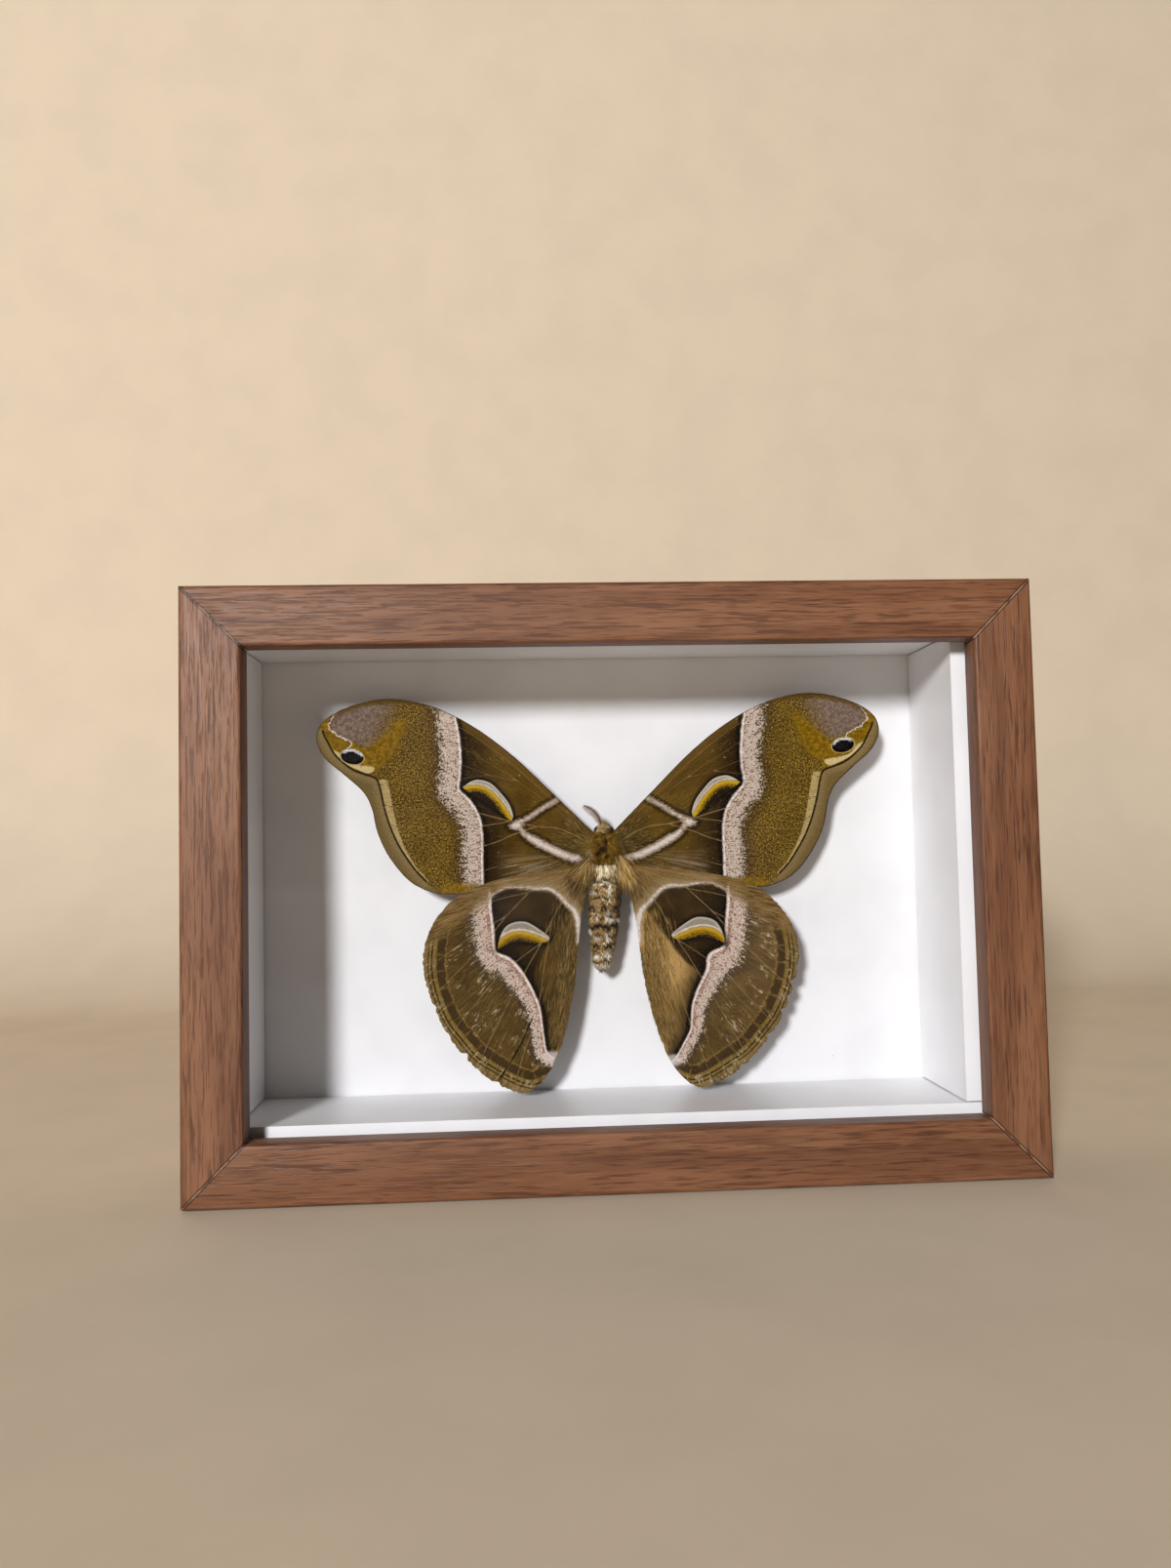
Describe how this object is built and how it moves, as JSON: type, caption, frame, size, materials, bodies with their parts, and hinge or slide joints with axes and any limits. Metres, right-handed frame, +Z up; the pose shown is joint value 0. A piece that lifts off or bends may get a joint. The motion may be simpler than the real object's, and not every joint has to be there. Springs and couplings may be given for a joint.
{
  "type": "framed silk moth specimen",
  "caption": "Spread silk moth with eyed, banded wings, fixed to white card in a glazed wood-look box frame that stands on its lower edge.",
  "frame": {"origin": "middle of the case's underside, on the surface that it stands on", "axes": "+X along the case's width, to the right as seen from the glass; +Z up; the glass faces -Y"},
  "size_m": [0.17, 0.044, 0.12],
  "materials": {
    "moulding": "brown wood-grain foil, satin",
    "glass": "clear float glass, a little dusty",
    "white_card": "matt white card",
    "board": "bare fibreboard",
    "steel": "plain zinc-plated",
    "wing": "scaled wing, olive brown with white, pink and yellow markings",
    "fur": "short olive-brown fur with a cream collar",
    "abdomen": "tan fur with paired white tufts",
    "eye": "dark, glossy",
    "antenna": "brown shaft with pale grey branches",
    "legs": "short tan fur",
    "pad": "white foam"
  },
  "bodies": {
    "root": {"abdomen": "abdomen", "antenna_left": "antenna", "antenna_right": "antenna", "back_board": "board", "backing_card": "white_card", "eye_left": "eye", "eye_right": "eye", "forewing_left": "wing", "forewing_right": "wing", "glass_pane": "glass", "hanger": "steel", "head": "fur", "hindwing_left": "wing", "hindwing_right": "wing", "leg_fore_left": "legs", "leg_fore_right": "legs", "leg_hind_left": "legs", "leg_hind_right": "legs", "leg_mid_left": "legs", "leg_mid_right": "legs", "liner_bottom": "white_card", "liner_left": "white_card", "liner_right": "white_card", "liner_top": "white_card", "mounting_pad": "pad", "rail_bottom": "moulding", "rail_left": "moulding", "rail_right": "moulding", "rail_top": "moulding", "tab_1": "steel", "tab_2": "steel", "tab_3": "steel", "tab_4": "steel", "tab_5": "steel", "tab_6": "steel", "thorax": "fur"}
  },
  "joints": []
}
